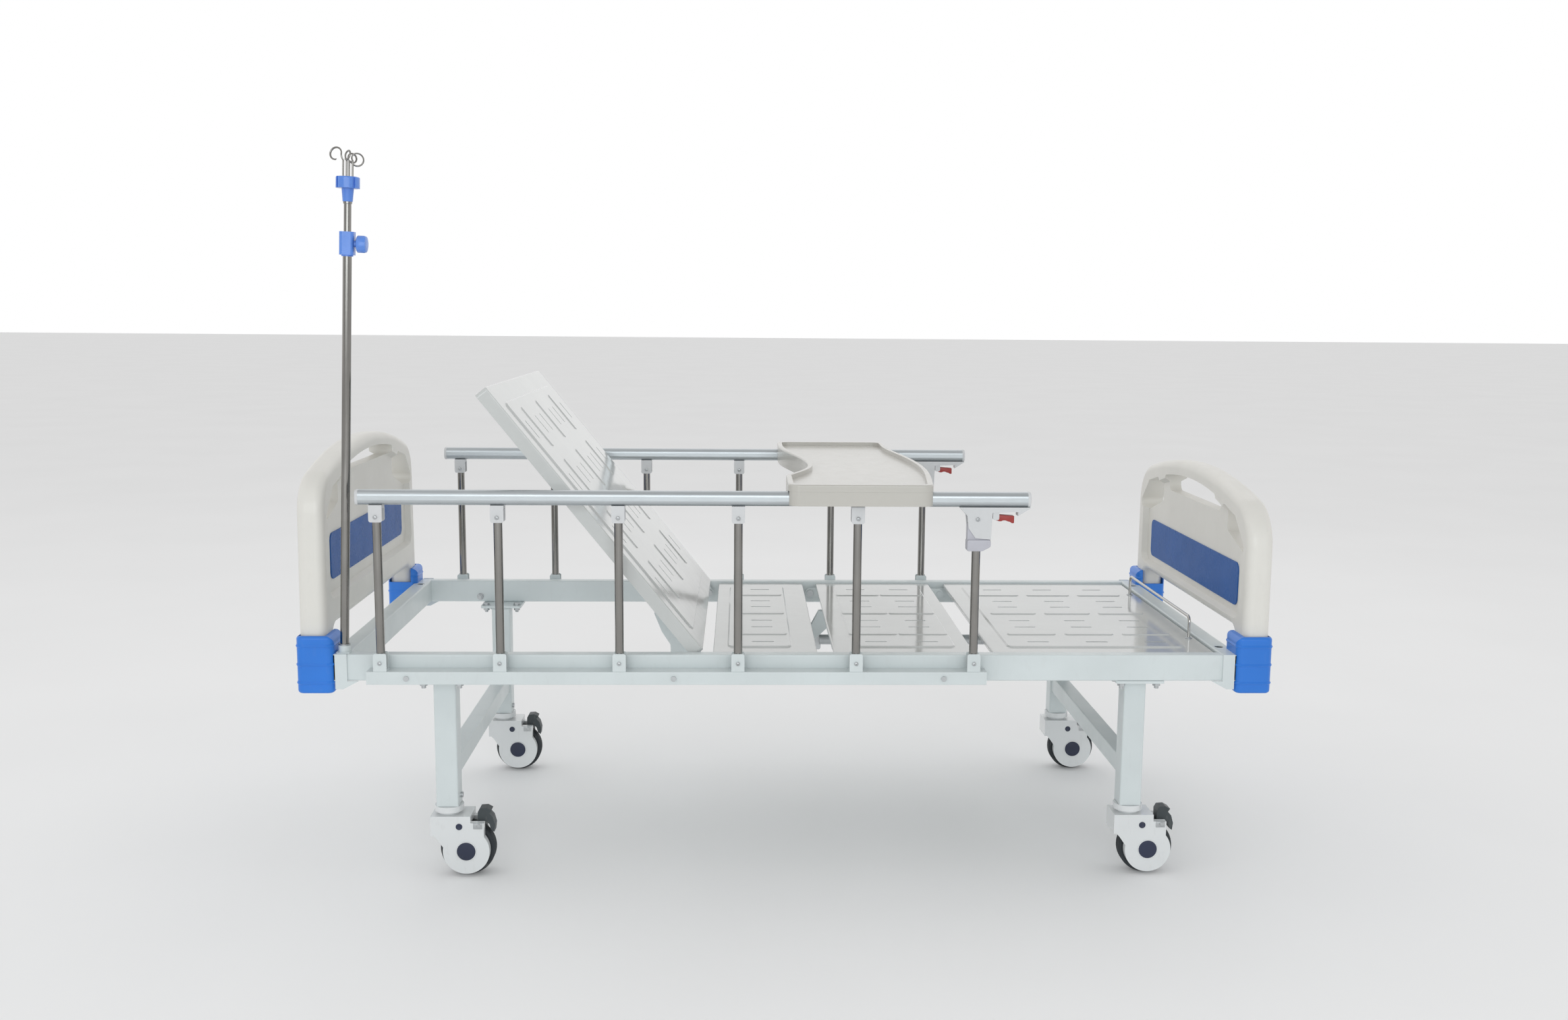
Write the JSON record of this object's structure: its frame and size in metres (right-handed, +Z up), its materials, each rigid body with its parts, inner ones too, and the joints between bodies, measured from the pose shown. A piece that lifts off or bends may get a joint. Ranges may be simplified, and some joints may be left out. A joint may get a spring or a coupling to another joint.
{
  "type": "adjustable hospital bed",
  "caption": "Manual hospital bed with raised backrest, folding side rails, tray, drip pole and braked casters.",
  "frame": {"origin": "floor level under the middle of the bed", "axes": "+X to the foot end, +Y to the patient's left, +Z up"},
  "size_m": [2.176, 1.01, 1.6263],
  "materials": {
    "frame_white": "satin powder coat",
    "board_cream": "soft gloss moulding",
    "panel_blue": "soft gloss",
    "block_blue": "soft gloss",
    "deck_enamel": "glossy enamel",
    "zinc_steel": "zinc plated",
    "polished_steel": "polished",
    "rail_aluminium": "satin anodised",
    "fitting_grey": "fine texture",
    "trigger_red": "satin",
    "caster_white": "gloss",
    "tyre_grey": "matt",
    "pedal_grey": "matt",
    "pole_blue": "gloss",
    "tray_ivory": "gloss"
  },
  "bodies": {
    "root": {"side_tubes": "frame_white", "frame_cross_tubes": "frame_white", "corner_plates": "frame_white", "headboard": "board_cream", "footboard": "board_cream", "board_panels": "panel_blue", "corner_blocks": "block_blue", "leg_frames": "frame_white", "frame_bolts": "zinc_steel", "seat_panel": "deck_enamel", "rail_bases": "frame_white", "pole_socket": "frame_white"},
    "backrest": {"backrest_panel": "deck_enamel", "backrest_frame": "frame_white"},
    "thigh_section": {"thigh_panel": "deck_enamel", "thigh_frame": "frame_white"},
    "calf_section": {"calf_panel": "deck_enamel", "calf_frame": "frame_white", "mattress_stop": "polished_steel"},
    "back_push": {"back_push_tube": "zinc_steel"},
    "knee_pull": {"knee_pull_tube": "zinc_steel"},
    "back_crank": {"back_crank": "zinc_steel"},
    "knee_crank": {"knee_crank": "zinc_steel"},
    "post_right_1": {"rail_post_right_1": "polished_steel"},
    "post_right_2": {"rail_post_right_2": "polished_steel"},
    "post_right_3": {"rail_post_right_3": "polished_steel"},
    "post_right_4": {"rail_post_right_4": "polished_steel"},
    "post_right_5": {"rail_post_right_5": "polished_steel"},
    "post_right_6": {"rail_post_right_6": "polished_steel"},
    "rail_right": {"rail_right": "rail_aluminium", "rail_fittings_right": "fitting_grey"},
    "trigger_right": {"rail_trigger_right": "trigger_red"},
    "post_left_1": {"rail_post_left_1": "polished_steel"},
    "post_left_2": {"rail_post_left_2": "polished_steel"},
    "post_left_3": {"rail_post_left_3": "polished_steel"},
    "post_left_4": {"rail_post_left_4": "polished_steel"},
    "post_left_5": {"rail_post_left_5": "polished_steel"},
    "post_left_6": {"rail_post_left_6": "polished_steel"},
    "rail_left": {"rail_left": "rail_aluminium", "rail_fittings_left": "fitting_grey"},
    "trigger_left": {"rail_trigger_left": "trigger_red"},
    "caster_head_right": {"caster_cover_head_right": "caster_white"},
    "wheel_head_right": {"caster_wheel_head_right": "tyre_grey"},
    "pedal_head_right": {"caster_pedal_head_right": "pedal_grey"},
    "caster_head_left": {"caster_cover_head_left": "caster_white"},
    "wheel_head_left": {"caster_wheel_head_left": "tyre_grey"},
    "pedal_head_left": {"caster_pedal_head_left": "pedal_grey"},
    "caster_foot_right": {"caster_cover_foot_right": "caster_white"},
    "wheel_foot_right": {"caster_wheel_foot_right": "tyre_grey"},
    "pedal_foot_right": {"caster_pedal_foot_right": "pedal_grey"},
    "caster_foot_left": {"caster_cover_foot_left": "caster_white"},
    "wheel_foot_left": {"caster_wheel_foot_left": "tyre_grey"},
    "pedal_foot_left": {"caster_pedal_foot_left": "pedal_grey"},
    "pole": {"pole_lower": "polished_steel", "pole_clamp": "pole_blue"},
    "pole_knob": {"pole_knob": "pole_blue"},
    "pole_mast": {"pole_upper": "polished_steel", "pole_hub": "pole_blue", "drip_hooks": "polished_steel"},
    "tray": {"overbed_tray": "tray_ivory"}
  },
  "joints": [
    {"name": "backrest_tilt", "type": "hinge", "parent": "root", "child": "backrest", "pos_m": [-0.197, 0, 0.5], "axis": [0, 1, 0], "range_deg": [-51, 24]},
    {"name": "back_push_slide", "type": "slide", "parent": "root", "child": "back_push", "axis": [1, 0, 0], "range_m": [-0.034, 0.068]},
    {"name": "back_crank_turn", "type": "hinge", "parent": "root", "child": "back_crank", "pos_m": [1.03, -0.13, 0.43], "axis": [1, 0, 0], "range_deg": [-3000, 1420]},
    {"name": "thigh_tilt", "type": "hinge", "parent": "root", "child": "thigh_section", "pos_m": [0.087, 0, 0.5], "axis": [0, -1, 0], "range_deg": [0, 35]},
    {"name": "knee_bend", "type": "hinge", "parent": "thigh_section", "child": "calf_section", "pos_m": [0.451, 0, 0.5], "axis": [0, -1, 0], "range_deg": [-59, 0]},
    {"name": "knee_pull_slide", "type": "slide", "parent": "root", "child": "knee_pull", "axis": [1, 0, 0], "range_m": [0, 0.049]},
    {"name": "knee_crank_turn", "type": "hinge", "parent": "root", "child": "knee_crank", "pos_m": [1.03, 0.13, 0.43], "axis": [1, 0, 0], "range_deg": [0, 2180]},
    {"name": "rail_fold_right_1", "type": "hinge", "parent": "root", "child": "post_right_1", "pos_m": [-0.896, -0.473, 0.5186], "axis": [0, 1, 0], "range_deg": [0, 85]},
    {"name": "rail_fold_right_2", "type": "hinge", "parent": "root", "child": "post_right_2", "pos_m": [-0.6352, -0.473, 0.5186], "axis": [0, 1, 0], "range_deg": [0, 85]},
    {"name": "rail_fold_right_3", "type": "hinge", "parent": "root", "child": "post_right_3", "pos_m": [-0.3744, -0.473, 0.5186], "axis": [0, 1, 0], "range_deg": [0, 85]},
    {"name": "rail_fold_right_4", "type": "hinge", "parent": "root", "child": "post_right_4", "pos_m": [-0.1136, -0.473, 0.5186], "axis": [0, 1, 0], "range_deg": [0, 85]},
    {"name": "rail_fold_right_5", "type": "hinge", "parent": "root", "child": "post_right_5", "pos_m": [0.1472, -0.473, 0.5186], "axis": [0, 1, 0], "range_deg": [0, 85]},
    {"name": "rail_fold_right_6", "type": "hinge", "parent": "root", "child": "post_right_6", "pos_m": [0.408, -0.473, 0.5186], "axis": [0, 1, 0], "range_deg": [0, 85]},
    {"name": "rail_level_right", "type": "hinge", "parent": "post_right_3", "child": "rail_right", "pos_m": [-0.3744, -0.473, 0.8414], "axis": [0, 1, 0], "range_deg": [-85, 0]},
    {"name": "trigger_squeeze_right", "type": "hinge", "parent": "rail_right", "child": "trigger_right", "pos_m": [0.448, -0.473, 0.847], "axis": [0, -1, 0], "range_deg": [0, 8], "stiffness_Nm_per_rad": 1.5, "springref_deg": -5.73},
    {"name": "rail_fold_left_1", "type": "hinge", "parent": "root", "child": "post_left_1", "pos_m": [-0.896, 0.473, 0.5186], "axis": [0, 1, 0], "range_deg": [0, 85]},
    {"name": "rail_fold_left_2", "type": "hinge", "parent": "root", "child": "post_left_2", "pos_m": [-0.6352, 0.473, 0.5186], "axis": [0, 1, 0], "range_deg": [0, 85]},
    {"name": "rail_fold_left_3", "type": "hinge", "parent": "root", "child": "post_left_3", "pos_m": [-0.3744, 0.473, 0.5186], "axis": [0, 1, 0], "range_deg": [0, 85]},
    {"name": "rail_fold_left_4", "type": "hinge", "parent": "root", "child": "post_left_4", "pos_m": [-0.1136, 0.473, 0.5186], "axis": [0, 1, 0], "range_deg": [0, 85]},
    {"name": "rail_fold_left_5", "type": "hinge", "parent": "root", "child": "post_left_5", "pos_m": [0.1472, 0.473, 0.5186], "axis": [0, 1, 0], "range_deg": [0, 85]},
    {"name": "rail_fold_left_6", "type": "hinge", "parent": "root", "child": "post_left_6", "pos_m": [0.408, 0.473, 0.5186], "axis": [0, 1, 0], "range_deg": [0, 85]},
    {"name": "rail_level_left", "type": "hinge", "parent": "post_left_3", "child": "rail_left", "pos_m": [-0.3744, 0.473, 0.8414], "axis": [0, 1, 0], "range_deg": [-85, 0]},
    {"name": "trigger_squeeze_left", "type": "hinge", "parent": "rail_left", "child": "trigger_left", "pos_m": [0.448, 0.473, 0.847], "axis": [0, -1, 0], "range_deg": [0, 8], "stiffness_Nm_per_rad": 1.5, "springref_deg": -5.73},
    {"name": "caster_swivel_head_right", "type": "hinge", "parent": "root", "child": "caster_head_right", "pos_m": [-0.773, -0.383, 0.15], "axis": [0, 0, 1], "continuous": true},
    {"name": "wheel_roll_head_right", "type": "hinge", "parent": "caster_head_right", "child": "wheel_head_right", "pos_m": [-0.731, -0.383, 0.0625], "axis": [0, 1, 0], "continuous": true},
    {"name": "brake_press_head_right", "type": "hinge", "parent": "caster_head_right", "child": "pedal_head_right", "pos_m": [-0.701, -0.383, 0.1235], "axis": [0, 1, 0], "range_deg": [0, 7]},
    {"name": "caster_swivel_head_left", "type": "hinge", "parent": "root", "child": "caster_head_left", "pos_m": [-0.773, 0.383, 0.15], "axis": [0, 0, 1], "continuous": true},
    {"name": "wheel_roll_head_left", "type": "hinge", "parent": "caster_head_left", "child": "wheel_head_left", "pos_m": [-0.731, 0.383, 0.0625], "axis": [0, 1, 0], "continuous": true},
    {"name": "brake_press_head_left", "type": "hinge", "parent": "caster_head_left", "child": "pedal_head_left", "pos_m": [-0.701, 0.383, 0.1235], "axis": [0, 1, 0], "range_deg": [0, 7]},
    {"name": "caster_swivel_foot_right", "type": "hinge", "parent": "root", "child": "caster_foot_right", "pos_m": [0.792, -0.383, 0.15], "axis": [0, 0, 1], "continuous": true},
    {"name": "wheel_roll_foot_right", "type": "hinge", "parent": "caster_foot_right", "child": "wheel_foot_right", "pos_m": [0.834, -0.383, 0.0625], "axis": [0, 1, 0], "continuous": true},
    {"name": "brake_press_foot_right", "type": "hinge", "parent": "caster_foot_right", "child": "pedal_foot_right", "pos_m": [0.864, -0.383, 0.1235], "axis": [0, 1, 0], "range_deg": [0, 7]},
    {"name": "caster_swivel_foot_left", "type": "hinge", "parent": "root", "child": "caster_foot_left", "pos_m": [0.792, 0.383, 0.15], "axis": [0, 0, 1], "continuous": true},
    {"name": "wheel_roll_foot_left", "type": "hinge", "parent": "caster_foot_left", "child": "wheel_foot_left", "pos_m": [0.834, 0.383, 0.0625], "axis": [0, 1, 0], "continuous": true},
    {"name": "brake_press_foot_left", "type": "hinge", "parent": "caster_foot_left", "child": "pedal_foot_left", "pos_m": [0.864, 0.383, 0.1235], "axis": [0, 1, 0], "range_deg": [0, 7]},
    {"name": "pole_turn", "type": "hinge", "parent": "root", "child": "pole", "pos_m": [-0.98293, -0.428, 0.62992], "axis": [0.0407, 0, 0.9992], "continuous": true},
    {"name": "mast_slide", "type": "slide", "parent": "pole", "child": "pole_mast", "axis": [0.0407, 0, 0.9992], "range_m": [-0.055, 0.5]},
    {"name": "knob_turn", "type": "hinge", "parent": "pole", "child": "pole_knob", "pos_m": [-0.92068, -0.428, 1.42204], "axis": [0.9992, 0, -0.0407], "continuous": true},
    {"name": "tray_slide", "type": "slide", "parent": "root", "child": "tray", "axis": [1, 0, 0], "range_m": [-0.08, 0.05]}
  ],
  "couplings": [
    {"joint": "back_push_slide", "follows": "backrest_tilt", "m_per_rad": -0.0744},
    {"joint": "back_crank_turn", "follows": "backrest_tilt", "ratio": 58.434},
    {"joint": "knee_bend", "follows": "thigh_tilt", "ratio": -1.672},
    {"joint": "knee_pull_slide", "follows": "thigh_tilt", "m_per_rad": 0.0788},
    {"joint": "knee_crank_turn", "follows": "thigh_tilt", "ratio": 61.889},
    {"joint": "rail_fold_right_1", "follows": "rail_fold_right_3", "ratio": 1},
    {"joint": "rail_fold_right_2", "follows": "rail_fold_right_3", "ratio": 1},
    {"joint": "rail_fold_right_4", "follows": "rail_fold_right_3", "ratio": 1},
    {"joint": "rail_fold_right_5", "follows": "rail_fold_right_3", "ratio": 1},
    {"joint": "rail_fold_right_6", "follows": "rail_fold_right_3", "ratio": 1},
    {"joint": "rail_level_right", "follows": "rail_fold_right_3", "ratio": -1},
    {"joint": "rail_fold_left_1", "follows": "rail_fold_left_3", "ratio": 1},
    {"joint": "rail_fold_left_2", "follows": "rail_fold_left_3", "ratio": 1},
    {"joint": "rail_fold_left_4", "follows": "rail_fold_left_3", "ratio": 1},
    {"joint": "rail_fold_left_5", "follows": "rail_fold_left_3", "ratio": 1},
    {"joint": "rail_fold_left_6", "follows": "rail_fold_left_3", "ratio": 1},
    {"joint": "rail_level_left", "follows": "rail_fold_left_3", "ratio": -1}
  ]
}
